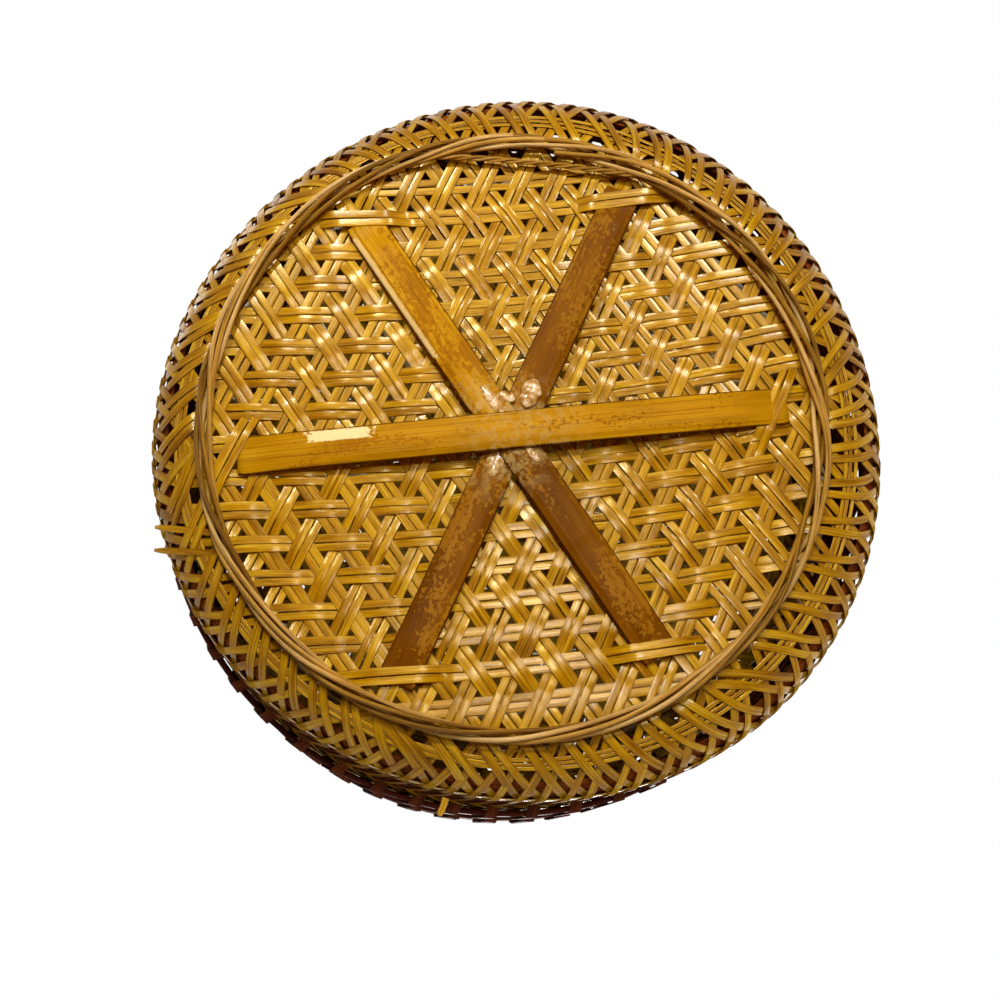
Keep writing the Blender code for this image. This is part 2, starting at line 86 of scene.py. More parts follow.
# %% [markdown]
# A turned line gives the sheet its shape: the base dips a little, bends outwards into a flare and stands up as
# the wall. The same splints run all the way, so everything woven is placed by its distance along this line
# from the middle of the base, by its angle round the axis and by how far it stands out of the sheet.

# %% The turned line of the sheet
def turned_line(points, outward):
    """Samples along a turned line: distance s, radius r, height z and the outward normal (nr, nz).

    The line is moved inwards by half the sheet, so that it runs in the middle of the splints:
    p = q - n * sheet / 2, with n = outward * (dz, -dr) / |(dr, dz)|.
    """
    def line_and_normal(line):
        along = np.gradient(line, axis=0)
        along /= np.linalg.norm(along, axis=1)[:, None]
        return np.stack([along[:, 1], -along[:, 0]], axis=1) * outward

    middle = points - line_and_normal(points) * SHEET / 2
    middle[0, 0] = 0.0
    normal = line_and_normal(middle)
    steps = np.linalg.norm(np.diff(middle, axis=0), axis=1)
    s = np.concatenate([[0.0], np.cumsum(steps)])
    return {"s": s, "r": middle[:, 0], "z": middle[:, 1], "nr": normal[:, 0], "nz": normal[:, 1]}


def dish_flare_wall(edge_z, crown, wall_end, up):
    """The outer line of a tier (up = 1) or of the lid (up = -1): parabola, quarter ellipse and straight wall."""
    r = np.linspace(0.0, BASE_RADIUS, 140)
    base = np.stack([r, edge_z + up * crown * (1 - (r / BASE_RADIUS) ** 2)], axis=1)
    t = np.linspace(0.0, math.pi / 2, 60)[1:]
    flare = np.stack([BASE_RADIUS + (WALL_RADIUS - BASE_RADIUS) * np.sin(t),
                      edge_z + up * FLARE_RISE * (1 - np.cos(t))], axis=1)
    z = np.linspace(edge_z + up * FLARE_RISE, wall_end, 50)[1:]
    wall = np.stack([np.full_like(z, WALL_RADIUS), z], axis=1)
    return np.concatenate([base, flare, wall])


TIER_LINE = turned_line(dish_flare_wall(BASE_EDGE_Z, DISH, RIM_Z, 1.0), 1.0)
lid_points = dish_flare_wall(LID_HIGH_Z - LID_CROWN, -LID_CROWN, LID_LOW_Z, -1.0)
lid_points[:140, 1] = LID_HIGH_Z - LID_CROWN * (lid_points[:140, 0] / BASE_RADIUS) ** 2
LID_LINE = turned_line(lid_points, -1.0)
print("tier line", round(TIER_LINE["s"][-1], 1), "mm, lid line", round(LID_LINE["s"][-1], 1), "mm")


def smooth(x):
    """A smooth step from 0 to 1: 3 x^2 - 2 x^3, held at both ends."""
    x = np.clip(x, 0.0, 1.0)
    return x * x * (3 - 2 * x)


def hand_shape(s, angle):
    """How far the lower tier's shoulder stands out of round, in millimetres, as the photograph shows it.

    Two slow waves round the basket, which grow from the foot ring to the shoulder and fade before the rim.
    """
    grows = smooth((s - 119.0) / 26.0) * smooth((200.0 - s) / 34.0)
    once = 3.7 * np.cos(angle - math.radians(169.0))
    wave = 1.7 * np.cos(3 * (angle - math.radians(-14.0)))
    return (once + wave) * grows


def on_sheet(line, s, angle, out, lift=0.0):
    """Points at distance s along the line, at an angle round the axis and out millimetres off the sheet.

    x = (r + out * nr) * cos(angle), y = (r + out * nr) * sin(angle), z = z + out * nz + lift.
    """
    nr, nz = np.interp(s, line["s"], line["nr"]), np.interp(s, line["s"], line["nz"])
    r = np.interp(s, line["s"], line["r"]) + out * nr
    if line is TIER_LINE and lift == 0.0:
        r = r + hand_shape(s, angle)
    z = np.interp(s, line["s"], line["z"]) + out * nz + lift
    points = np.stack([r * np.cos(angle), r * np.sin(angle), z], axis=-1)
    normals = np.stack([nr * np.cos(angle), nr * np.sin(angle), nz], axis=-1)
    return points, normals


def bowed(points, s):
    """The base as the hand wove it: y grows by 5.1 mm * (x / 118)^2, and less and less past the foot ring."""
    points = points.copy()
    points[..., 1] += 5.1 * (points[..., 0] / 118.0) ** 2 * smooth((142.0 - s) / 26.0)
    return points


# %% [markdown]
# Everything in this basket is a strip, a rod or a ring, so one function pulls a section along a line. It
# writes whole arrays of points, and a map of each strip: across it from edge to edge, and along it in
# millimetres. The grain of every finish follows this map.

# %% Pulling a section along a line
RANDOM = np.random.default_rng(7)


def flat_section(width, thickness):
    """Ten points of a split strip, anticlockwise: thin bevelled edges and an outer face of three flat cuts."""
    share = np.array([(-0.5, -0.2), (-0.46, -0.5), (0.46, -0.5), (0.5, -0.2), (0.5, 0.22),
                      (0.47, 0.42), (0.2, 0.5), (-0.2, 0.5), (-0.47, 0.42), (-0.5, 0.22)])
    return share * np.array([width, thickness])


def round_section(diameter, count=10):
    """A circle of points, anticlockwise."""
    turn = np.arange(count) * ROUND / count
    return np.stack([np.cos(turn), np.sin(turn)], axis=1) * diameter / 2


def block_section(width, thickness, edge):
    """A rectangle with a bevel on each corner, anticlockwise."""
    w, t = width / 2, thickness / 2
    return np.array([(-w, -t + edge), (-w + edge, -t), (w - edge, -t), (w, -t + edge),
                     (w, t - edge), (w - edge, t), (-w + edge, t), (-w, t - edge)])


def unit(vectors):
    """Each row of an array made one long."""
    return vectors / np.maximum(np.linalg.norm(vectors, axis=-1, keepdims=True), 1e-9)


def pull(path, out, section, number=0, closed=False, scale=None, start=0.0, painted_shade=None):
    """A section pulled along a path: points, quads, the map of each corner and the painted shade of each point.

    At each station the section's x goes along side = out x along, and its y along along x side.
    """
    along = unit(np.roll(path, -1, 0) - np.roll(path, 1, 0)) if closed else unit(np.gradient(path, axis=0))
    side = unit(np.cross(out, along))
    face = np.cross(along, side)
    stations, corners = len(path), len(section)
    shape = np.broadcast_to(section, (stations, corners, 2))
    if scale is not None:
        shape = shape * scale[:, None, :]
    points = path[:, None] + side[:, None] * shape[..., :1] + face[:, None] * shape[..., 1:]
    width = np.ptp(section[:, 0])
    share = np.clip((section[:, 0] - section[:, 0].min()) / width, 0.02, 0.98)
    steps = np.linalg.norm(np.diff(path, axis=0), axis=1)
    length = start + np.concatenate([[0.0], np.cumsum(steps)])
    grid = np.arange(stations * corners).reshape(stations, corners)
    if closed:
        grid = np.vstack([grid, grid[:1]])
        length = np.append(length, length[-1] + np.linalg.norm(path[0] - path[-1]))
    after = np.roll(grid, -1, 1)
    quads = np.stack([grid[:-1], after[:-1], after[1:], grid[1:]], axis=-1).reshape(-1, 4)
    u = np.broadcast_to(number + share, grid.shape)
    u_after = np.roll(u, -1, 1)
    v = np.broadcast_to(length[:, None], grid.shape)
    across = np.stack([u[:-1], u_after[:-1], u_after[1:], u[1:]], axis=-1)
    lengths = np.stack([v[:-1], v[:-1], v[1:], v[1:]], axis=-1)
    marks = np.stack([across, lengths], axis=-1).reshape(-1, 4, 2)
    if not closed:
        i = np.arange(corners // 2 - 1)
        cap = np.stack([i, corners - 1 - i, corners - 2 - i, i + 1], axis=1)
        last = cap[:, ::-1]
        quads = np.vstack([quads, cap, (stations - 1) * corners + last])
        cap_marks = [np.stack([number + share[c], np.full(c.shape, at)], axis=-1)
                     for c, at in ((cap, length[0]), (last, length[-1]))]
        marks = np.concatenate([marks, *cap_marks])
    painted_shade = np.repeat(np.zeros(stations) if painted_shade is None else painted_shade, corners)
    return points.reshape(-1, 3), quads, marks, painted_shade


def make_piece(name, parts, material, body, stands_for=(), crisp=0, in_painted_shade=None):
    """One object from several pulled strips, riding on a body of the frame in place of its solids.

    Crisp is the number of corners of its section where the edges that run along it stay sharp. In_painted_shade is the
    finish of the faces from the shoulder on, where the painted shade is over two fifths: a matte, darker copy that
    paints the walls' shade.
    """
    starts = np.cumsum([0] + [len(p[0]) for p in parts[:-1]])
    points = np.concatenate([p[0] for p in parts]) * MM
    quads = np.concatenate([p[1] + start for p, start in zip(parts, starts)]).astype(np.int32)
    marks = np.concatenate([p[2] for p in parts])
    mesh = bpy.data.meshes.new(name)
    mesh.vertices.add(len(points))
    mesh.vertices.foreach_set("co", points.astype(np.float32).ravel())
    mesh.loops.add(quads.size)
    mesh.loops.foreach_set("vertex_index", quads.ravel())
    mesh.polygons.add(len(quads))
    mesh.polygons.foreach_set("loop_start", np.arange(0, quads.size, 4, dtype=np.int32))
    mesh.polygons.foreach_set("use_smooth", np.ones(len(quads), dtype=bool))
    mesh.update(calc_edges=True)
    marks_layer = mesh.uv_layers.new(name="grain")
    marks_layer.data.foreach_set("uv", marks.astype(np.float32).ravel())
    amount = np.concatenate([p[3] for p in parts]).astype(np.float32)
    painted_shade = mesh.attributes.new("painted_shade", "FLOAT", "POINT")
    painted_shade.data.foreach_set("value", amount)
    if crisp:
        ends = np.empty(len(mesh.edges) * 2, dtype=np.int32)
        mesh.edges.foreach_get("vertices", ends)
        sharp = mesh.attributes.new("sharp_edge", "BOOLEAN", "EDGE")
        sharp.data.foreach_set("value", np.abs(ends[::2] - ends[1::2]) % crisp == 0)
    mesh.materials.append(material)
    if in_painted_shade:
        mesh.materials.append(in_painted_shade)
        mesh.polygons.foreach_set("material_index", (amount[quads].min(axis=1) > 0.38).astype(np.int32))
    piece = bpy.data.objects.new(name, mesh)
    bpy.context.scene.collection.objects.link(piece)
    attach(piece, body)
    if stands_for:
        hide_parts(*stands_for)
    print(name, len(quads) * 2, "triangles")
    return piece


def soft_noise(x, count=4, shortest=25.0):
    """A smooth seeded wobble between about -1 and 1: a sum of sines with lengths from shortest upwards."""
    total = np.zeros_like(x)
    for n in range(count):
        total += np.sin(x * ROUND / (shortest * (1 + n * 0.9)) + RANDOM.uniform(0, ROUND)) / math.sqrt(count)
    return total


def round_noise(angle, slowest=2, count=5):
    """A smooth seeded wobble round a ring, between about -1 and 1, that closes on itself."""
    total = np.zeros_like(angle)
    for n in range(slowest, slowest + count):
        total += np.sin(n * angle + RANDOM.uniform(0, ROUND)) / math.sqrt(count)
    return total


# %% [markdown]
# Finishes come from nodes. The colours are read off the photograph and written as sRGB codes; one
# function turns them into the linear numbers that the shader wants. Grain runs along each strip because the
# noise is stretched along the strip's own map.

# %% Finish helpers
def linear(code):
    """An sRGB hex code as linear red, green, blue and alpha: c / 12.92, or ((c + 0.055) / 1.055) ^ 2.4."""
    channels = [int(code[i:i + 2], 16) / 255 for i in (1, 3, 5)]
    return (*[c / 12.92 if c <= 0.04045 else ((c + 0.055) / 1.055) ** 2.4 for c in channels], 1.0)


def new_finish(name):
    """A material with a Principled shader, and its tree."""
    material = bpy.data.materials.new(name)
    material.use_nodes = True
    return material, material.node_tree, material.node_tree.nodes["Principled BSDF"]


def add(tree, kind, settings=None, values=None, links=None):
    """Adds a node, gives it settings and socket values, and links other sockets into it."""
    node = tree.nodes.new(kind)
    for key, value in (settings or {}).items():
        setattr(node, key, value)
    for key, value in (values or {}).items():
        node.inputs[key].default_value = value
    for key, source in (links or {}).items():
        tree.links.new(source, node.inputs[key])
    return node


def math_node(tree, operation, first, second=0.0, third=0.0):
    """A Math node on sockets or plain numbers."""
    node = tree.nodes.new("ShaderNodeMath")
    node.operation = operation
    for place, value in enumerate((first, second, third)):
        if isinstance(value, (int, float)):
            node.inputs[place].default_value = value
        else:
            tree.links.new(value, node.inputs[place])
    return node.outputs[0]


def ramp(tree, factor, stops):
    """A colour ramp from a list of places and sRGB codes."""
    node = add(tree, "ShaderNodeValToRGB", links={"Fac": factor})
    while len(node.color_ramp.elements) < len(stops):
        node.color_ramp.elements.new(1.0)
    for element, (place, code) in zip(node.color_ramp.elements, stops):
        element.position = place
        element.color = linear(code)
    return node.outputs["Color"]


def mix(tree, factor, first, second, blend="MIX"):
    """A colour mix of two sockets or colours."""
    node = add(tree, "ShaderNodeMix", {"data_type": "RGBA", "blend_type": blend})
    for socket, value in ((node.inputs[0], factor), (node.inputs[6], first), (node.inputs[7], second)):
        if isinstance(value, (int, float, tuple)):
            socket.default_value = value
        else:
            tree.links.new(value, socket)
    return node.outputs[2]


def strip_map(tree):
    """The strip's own map: share across, length along in millimetres, strip number and a tone for each strip."""
    grain = add(tree, "ShaderNodeUVMap", {"uv_map": "grain"})
    parts = add(tree, "ShaderNodeSeparateXYZ", links={"Vector": grain.outputs["UV"]})
    number = math_node(tree, "FLOOR", parts.outputs["X"])
    share = math_node(tree, "FRACT", parts.outputs["X"])
    tone = add(tree, "ShaderNodeTexWhiteNoise", {"noise_dimensions": "1D"}, links={"W": number})
    return share, parts.outputs["Y"], number, tone.outputs["Value"]


def streaks(tree, share, along, number, across_scale, along_scale, detail=4.0):
    """Noise that is stretched along the strip: fine across, long along, and different on each strip."""
    x = math_node(tree, "MULTIPLY", share, across_scale)
    y = math_node(tree, "MULTIPLY", along, along_scale)
    z = math_node(tree, "MULTIPLY", number, 7.31)
    place = add(tree, "ShaderNodeCombineXYZ", links={"X": x, "Y": y, "Z": z})
    noise = add(tree, "ShaderNodeTexNoise", values={"Scale": 1.0, "Detail": detail, "Roughness": 0.6},
                links={"Vector": place.outputs["Vector"]})
    return noise.outputs["Fac"]


def finish_shader(tree, shader, colour, rough, height, depth, coat, coat_rough, specular=0.5):
    """Links colour, roughness and a bump of real depth, and sets the lacquer's own numbers on the sockets."""
    tree.links.new(colour, shader.inputs["Base Color"])
    tree.links.new(rough, shader.inputs["Roughness"])
    bump = add(tree, "ShaderNodeBump", values={"Strength": 1.0, "Distance": depth * MM}, links={"Height": height})
    tree.links.new(bump.outputs["Normal"], shader.inputs["Normal"])
    tree.links.new(bump.outputs["Normal"], shader.inputs["Coat Normal"])
    shader.inputs["Coat Weight"].default_value = coat
    shader.inputs["Coat Roughness"].default_value = coat_rough
    shader.inputs["Specular IOR Level"].default_value = specular


# %% Lacquered splints
def lacquered_strip(name, stops, edge_code, line_code, painted_shade_code, specular, gloss, pale_code="#F2D470"):
    """Lacquer over split bamboo: tone in long patches, fine dark fibre lines, and gloss that comes and goes.

    The painted_shade attribute darkens the strip from the shoulder on: the walls' shade, painted into the colour.
    """
    material, tree, shader = new_finish(name)
    share, along, number, tone = strip_map(tree)
    patches = streaks(tree, share, along, number, 1.2, 0.05, 4.0)
    level = math_node(tree, "MULTIPLY_ADD", tone, 0.16, math_node(tree, "MULTIPLY", patches, 0.84))
    body = ramp(tree, level, stops)
    fibre = streaks(tree, share, along, number, 8.0, 0.022, 6.0)
    pale = add(tree, "ShaderNodeMapRange", values={1: 0.54, 2: 0.72, 3: 0.0, 4: 0.5}, links={0: fibre})
    colour = mix(tree, pale.outputs[0], body, linear(pale_code))
    lines = streaks(tree, share, along, number, 15.0, 0.009, 3.0)
    deep = add(tree, "ShaderNodeMapRange", values={1: 0.55, 2: 0.63, 3: 0.0, 4: 0.78}, links={0: lines})
    colour = mix(tree, deep.outputs[0], colour, linear(line_code))
    edge = math_node(tree, "ABSOLUTE", math_node(tree, "SUBTRACT", share, 0.5))
    dark = math_node(tree, "POWER", math_node(tree, "MULTIPLY", edge, 2.0), 12.0)
    colour = mix(tree, math_node(tree, "MULTIPLY", dark, 0.85), colour, linear(edge_code))
    painted_shade = add(tree, "ShaderNodeAttribute", {"attribute_name": "painted_shade"})
    in_painted_shade = math_node(tree, "MULTIPLY", painted_shade.outputs["Fac"], 0.72)
    colour = mix(tree, in_painted_shade, colour, linear(painted_shade_code))
    sheen = streaks(tree, share, along, number, 2.5, 0.09, 3.0)
    rough = add(tree, "ShaderNodeMapRange", values={1: 0.36, 2: 0.62, 3: 0.4, 4: 0.16}, links={0: sheen})
    height = math_node(tree, "MULTIPLY_ADD", lines, -0.5, fibre)
    finish_shader(tree, shader, colour, rough.outputs[0], height, 0.022, gloss, 0.11, specular)
    shader.inputs["Specular Tint"].default_value = linear("#FFD95E")
    return material


SPLINT_STOPS = [(0.3, "#7A4A00"), (0.42, "#9E6A00"), (0.52, "#B68200"), (0.62, "#C89802"), (0.74, "#DAB024")]
SPLINT = lacquered_strip("lacquered splint", SPLINT_STOPS, "#4E1D02", "#6E3C03", "#4A1A05", 0.46, 0.32)
# The second splint finish is a matte, darker copy for the faces from the shoulder on: painted shade.
SPLINT_IN_PAINTED_SHADE = lacquered_strip("splint in painted shade", SPLINT_STOPS, "#4E1D02", "#6A3A04", "#3E1405", 0.0, 0.06)
# The wall bands are dark maroon and matte: partly a dark stain, partly painted shade.
MAROON = lacquered_strip("maroon band", [(0.3, "#38100A"), (0.5, "#4A1A0A"), (0.75, "#66290D")],
                         "#260B05", "#2A0D06", "#2A0D06", 0.0, 0.06, "#7A3A18")
LINING = lacquered_strip("lining strip", [(0.3, "#6E2C0C"), (0.5, "#8A4414"), (0.75, "#A8621E")],
                         "#4A1A08", "#54220A", "#54220A", 0.0, 0.04, "#BC7C34")
# The binding and the hoops are dark maroon and matte: partly a dark stain, partly painted shade.
LASHING = lacquered_strip("stained cane lashing with painted shade", [(0.3, "#421A0A"), (0.5, "#5A260C"), (0.75, "#763A13")],
                          "#2A0F06", "#341407", "#341407", 0.0, 0.08, "#96582A")
HOOP = lacquered_strip("stained hoop with painted shade", [(0.3, "#3A120A"), (0.5, "#4E1B0B"), (0.75, "#682A0E")],
                       "#260B05", "#2E0E07", "#2E0E07", 0.0, 0.08, "#82421E")


def cane_finish():
    """Thinly lacquered cane, paler on some laps than on others, with fibres along it and dark grooves."""
    material, tree, shader = new_finish("twisted cane")
    share, along, number, tone = strip_map(tree)
    lap = math_node(tree, "FLOOR", math_node(tree, "DIVIDE", along, ROUND * FOOT_RADIUS))
    lap_tone = add(tree, "ShaderNodeTexWhiteNoise", {"noise_dimensions": "1D"}, links={"W": lap})
    patches = streaks(tree, share, along, number, 1.0, 0.02, 4.0)
    level = math_node(tree, "MULTIPLY_ADD", lap_tone.outputs["Value"], 0.3, math_node(tree, "MULTIPLY", patches, 0.7))
    body = ramp(tree, level, [(0.3, "#80540C"), (0.42, "#AE7E1E"), (0.54, "#CC9C40"), (0.68, "#EBC680")])
    fibre = streaks(tree, share, along, number, 9.0, 0.03, 6.0)
    deep = add(tree, "ShaderNodeMapRange", values={1: 0.5, 2: 0.64, 3: 0.0, 4: 0.75}, links={0: fibre})
    colour = mix(tree, deep.outputs[0], body, linear("#4A2A05"))
    rough = math_node(tree, "MULTIPLY_ADD", fibre, -0.4, 0.6)
    finish_shader(tree, shader, colour, rough, fibre, 0.35, 0.12, 0.25, 0.2)
    shader.inputs["Specular Tint"].default_value = linear("#FFE3A8")
    return material


def slat_finish(name, first_stops, last_stops, worn_codes, worn_from, wet, scuff_and_highlight=None):
    """Lacquer on a split slat, worn in ragged specks; its tone changes where the slats cross.

    Wet is how strongly the lacquer stands in runs round the crossing. A scuff_and_highlight is a pale polished
    patch, partly wear and partly a painted highlight, given as its first and last length in millimetres, its first and
    last share of the width and its strength.
    """
    material, tree, shader = new_finish(name)
    share, along, number, tone = strip_map(tree)
    fibre = streaks(tree, share, along, number, 22.0, 0.012, 5.0)
    shade = streaks(tree, share, along, number, 1.8, 0.02, 4.0)
    change = add(tree, "ShaderNodeMapRange", values={1: 98.0, 2: 116.0, 3: 0.0, 4: 1.0}, links={0: along})
    body = mix(tree, change.outputs[0], ramp(tree, shade, first_stops), ramp(tree, shade, last_stops))
    worn = streaks(tree, share, along, number, 11.0, 0.5, 8.0)
    where = streaks(tree, share, along, number, 1.3, 0.03, 1.0)
    level = math_node(tree, "ADD", worn, math_node(tree, "MULTIPLY", where, 0.8))
    patch = add(tree, "ShaderNodeMapRange", values={1: worn_from, 2: worn_from + 0.03, 3: 0.0, 4: 0.75},
                links={0: level})
    speck = mix(tree, change.outputs[0], linear(worn_codes[0]), linear(worn_codes[1]))
    colour = mix(tree, patch.outputs[0], body, speck)
    deep = add(tree, "ShaderNodeMapRange", values={1: 0.5, 2: 0.66, 3: 0.0, 4: 0.5}, links={0: fibre})
    colour = mix(tree, deep.outputs[0], colour, linear("#6B3F04"))
    # The slat's long side faces are painted dark brown: painted shade.
    edge = math_node(tree, "ABSOLUTE", math_node(tree, "SUBTRACT", share, 0.5))
    side = add(tree, "ShaderNodeMapRange", values={1: 0.462, 2: 0.478, 3: 0.0, 4: 0.85}, links={0: edge})
    colour = mix(tree, side.outputs[0], colour, linear("#421B03"))
    rough = math_node(tree, "MULTIPLY_ADD", patch.outputs[0], 0.2, 0.42)
    middle = math_node(tree, "ABSOLUTE", math_node(tree, "SUBTRACT", along, 108.0))
    runs = add(tree, "ShaderNodeMapRange", values={1: 12.0, 2: 30.0, 3: wet, 4: 0.0}, links={0: middle})
    lumps = streaks(tree, share, along, number, 4.5, 0.28, 2.0)
    rough = math_node(tree, "MULTIPLY_ADD", runs.outputs[0], -0.3, rough)
    # A pale glaze where the runs stand: partly dried lacquer, partly a painted reflection.
    glaze_and_reflection = add(tree, "ShaderNodeMapRange", values={1: 0.46, 2: 0.56, 3: 0.0, 4: 0.6}, links={0: lumps})
    colour = mix(tree, math_node(tree, "MULTIPLY", glaze_and_reflection.outputs[0], runs.outputs[0]), colour, linear("#C2A868"))
    # The pale patch: partly wear, partly a painted highlight.
    if scuff_and_highlight:
        ragged = math_node(tree, "MULTIPLY", math_node(tree, "SUBTRACT", worn, 0.5), 20.0)
        far = math_node(tree, "ABSOLUTE", math_node(tree, "SUBTRACT", along, (scuff_and_highlight[0] + scuff_and_highlight[1]) / 2))
        wide = math_node(tree, "ABSOLUTE", math_node(tree, "SUBTRACT", share, (scuff_and_highlight[2] + scuff_and_highlight[3]) / 2))
        inside_long = math_node(tree, "SUBTRACT", (scuff_and_highlight[1] - scuff_and_highlight[0]) / 2, math_node(tree, "ADD", far, ragged))
        inside_wide = math_node(tree, "SUBTRACT", (scuff_and_highlight[3] - scuff_and_highlight[2]) / 2,
                                math_node(tree, "MULTIPLY_ADD", ragged, 0.004, wide))
        inside = math_node(tree, "MINIMUM", math_node(tree, "MULTIPLY", inside_long, 0.7),
                           math_node(tree, "MULTIPLY", inside_wide, 30.0))
        shown = add(tree, "ShaderNodeMapRange", values={1: 0.0, 2: 1.0, 3: 0.0, 4: scuff_and_highlight[4]}, links={0: inside})
        colour = mix(tree, shown.outputs[0], colour, linear("#FFF2B8"))
        rough = math_node(tree, "MULTIPLY_ADD", shown.outputs[0], -0.1, rough)
    height = math_node(tree, "MULTIPLY_ADD", patch.outputs[0], -0.4, fibre)
    height = math_node(tree, "MULTIPLY_ADD", math_node(tree, "MULTIPLY", runs.outputs[0], lumps), 6.0, height)
    finish_shader(tree, shader, colour, rough, height, 0.10, 0.02, 0.2, 0.04)
    shader.inputs["Specular Tint"].default_value = linear("#FFE29A")
    return material


def resin_finish():
    """Dried lacquer that ran together where the slats cross: clear, glossy and honey coloured."""
    material, tree, shader = new_finish("dried lacquer")
    place = add(tree, "ShaderNodeTexCoord")
    noise = add(tree, "ShaderNodeTexNoise", values={"Scale": 420.0, "Detail": 3.0}, links={"Vector": place.outputs["Object"]})
    colour = ramp(tree, noise.outputs["Fac"], [(0.35, "#A87A34"), (0.5, "#CCA462"), (0.65, "#F2E0B8")])
    rough = math_node(tree, "MULTIPLY_ADD", noise.outputs["Fac"], 0.2, 0.05)
    finish_shader(tree, shader, colour, rough, noise.outputs["Fac"], 0.12, 0.9, 0.04)
    return material


CANE = cane_finish()
GOLDEN = [(0.3, "#A47402"), (0.5, "#BC8A06"), (0.7, "#CE9E1A")]
BROWN = [(0.3, "#6A3C03"), (0.5, "#7E4A02"), (0.7, "#925E06")]
AMBER = [(0.3, "#AE7A06"), (0.5, "#C69208"), (0.7, "#D8A81E")]
# The last tuple of the golden and the two tone slat is a pale patch: partly wear, partly a painted highlight.
SLAT_FINISHES = {
    "outer": slat_finish("golden slat", GOLDEN, GOLDEN, ("#8A5402", "#A46A06"), 1.03, 0.5,
                         (166.0, 192.0, 0.03, 0.36, 0.85)),
    "middle": slat_finish("two tone slat", BROWN, AMBER, ("#AC7618", "#A06804"), 0.93, 1.0,
                          (148.0, 210.0, 0.85, 1.1, 0.45)),
    "inner": slat_finish("brown slat", BROWN, BROWN, ("#B07A1A", "#A87414"), 0.95, 1.0),
}
RESIN = resin_finish()
print("finishes:", ", ".join(m.name for m in bpy.data.materials if m.use_nodes))

# %% Woven families
def levels_along(row, family):
    """Where the splints of one row cross the others, and how far out they stand there.

    A lattice point has three whole numbers k0, k1, k2 with k1 = k0 + k2. The row with the largest of them runs
    round the middle there and lies between the other two; those two change places from ring to ring.
    """
    found = []
    for step in range(-2 * LAST_ROW, 2 * LAST_ROW + 1):
        rows = [0, 0, 0]
        rows[family] = row
        if family == 0:
            rows[2], rows[1] = step, row + step
        elif family == 1:
            rows[0], rows[2] = step, row - step
        else:
            rows[0], rows[1] = step, row + step
        ring = max(abs(k) for k in rows)
        if ring > LAST_ROW:
            continue
        largest = [f for f in range(3) if abs(rows[f]) == ring]
        middle = largest[0]
        if len(largest) == 2:
            free = 3 - sum(largest)
            middle = (free - 1) % 3
        if ring == 0:
            out = (1, 0, -1)[family]
        elif family == middle:
            out = 0
        else:
            over = (middle - 1) % 3 if ring % 2 == 0 else (middle + 1) % 3
            out = 1 if family == over else -1
        angle = FAMILY_ANGLES
        n = np.stack([-np.sin(angle), np.cos(angle)], axis=1)
        other = (family + 1) % 3
        place = np.linalg.solve(np.stack([n[family], n[other]]), np.array([row, rows[other]]) * PITCH)
        along = place @ np.array([math.cos(angle[family]), math.sin(angle[family])])
        found.append((along, out * WAVE))
    found.sort()
    return np.array(found)


def held(x, places, values):
    """Steps from value to value along x: each is held near its place, with a smooth change between two."""
    index = np.clip(np.searchsorted(places, x) - 1, 0, len(places) - 2)
    u = (x - places[index]) / (places[index + 1] - places[index])
    change = smooth((u - 0.16) / 0.68)
    return values[index] + (values[index + 1] - values[index]) * change


# Where the wall's bands run, as distances along the sheet's line, and how far out splints stand over them
TURN_START, TURN_END = 118.0, 160.0
WALL_LEAN = math.radians(36.0)
WALL_SHIFT = math.radians(-11.5)
TIER_RINGS = ((133.6, 1.32, 0.18), (151.5, 1.32, 0.18), (167.0, 0.57, -0.57), (182.0, 0.57, -0.57),
              (196.0, 0.35, -0.35), (208.0, 0.35, -0.35))
LID_RINGS = ((136.0, 0.57, -0.57), (151.5, 1.32, 0.18), (162.0, 0.35, -0.35), (170.0, 0.35, -0.35))

# Slats under a tier: turn, distance off the axis, half length and the family whose outer rows hold its ends
SLATS = {
    "outer": (math.radians(-6.3), -2.0, 110.0, 2),
    "middle": (math.radians(56.3), -3.8, 107.0, 0),
    "inner": (math.radians(114.1), 0.0, 112.0, 0),
}
HOLDING_ROW = 7
HOLD_OUT = 2.85


def half_strand(line, family, w, side, end, number, rings, s_end):
    """From the base's turning radius to the rim: distance along the line and angle round the axis.

    The angle follows a cubic from the straight line's own angle and slope to an even spacing on the wall, and
    then leans by the same angle to the end.
    """
    away = FAMILY_ANGLES[family] + (0.0 if end > 0 else math.pi)
    r0 = np.interp(TURN_START, line["s"], line["r"])
    first = away + math.asin(w * end / r0)
    first_slope = -math.tan(math.asin(w * end / r0)) / r0
    last = away + side * ((number + 0.5) / 17 * math.radians(60.0) + WALL_SHIFT)
    last_slope = -side * math.tan(WALL_LEAN) / WALL_RADIUS
    s = np.arange(TURN_START, s_end, 2.4)
    s = np.append(s[:-1], s_end)
    span = TURN_END - TURN_START
    t = np.clip((s - TURN_START) / span, 0.0, 1.0)
    cubic = ((2 * t ** 3 - 3 * t ** 2 + 1) * first + (t ** 3 - 2 * t ** 2 + t) * first_slope * span
             + (-2 * t ** 3 + 3 * t ** 2) * last + (t ** 3 - t ** 2) * last_slope * span)
    angle = cubic + np.maximum(s - TURN_END, 0.0) * last_slope
    sign = -side
    marks = np.array([(place, (over if sign * (-1) ** (9 + i) > 0 else under))
                      for i, (place, over, under) in enumerate(rings)])
    return s, angle, marks


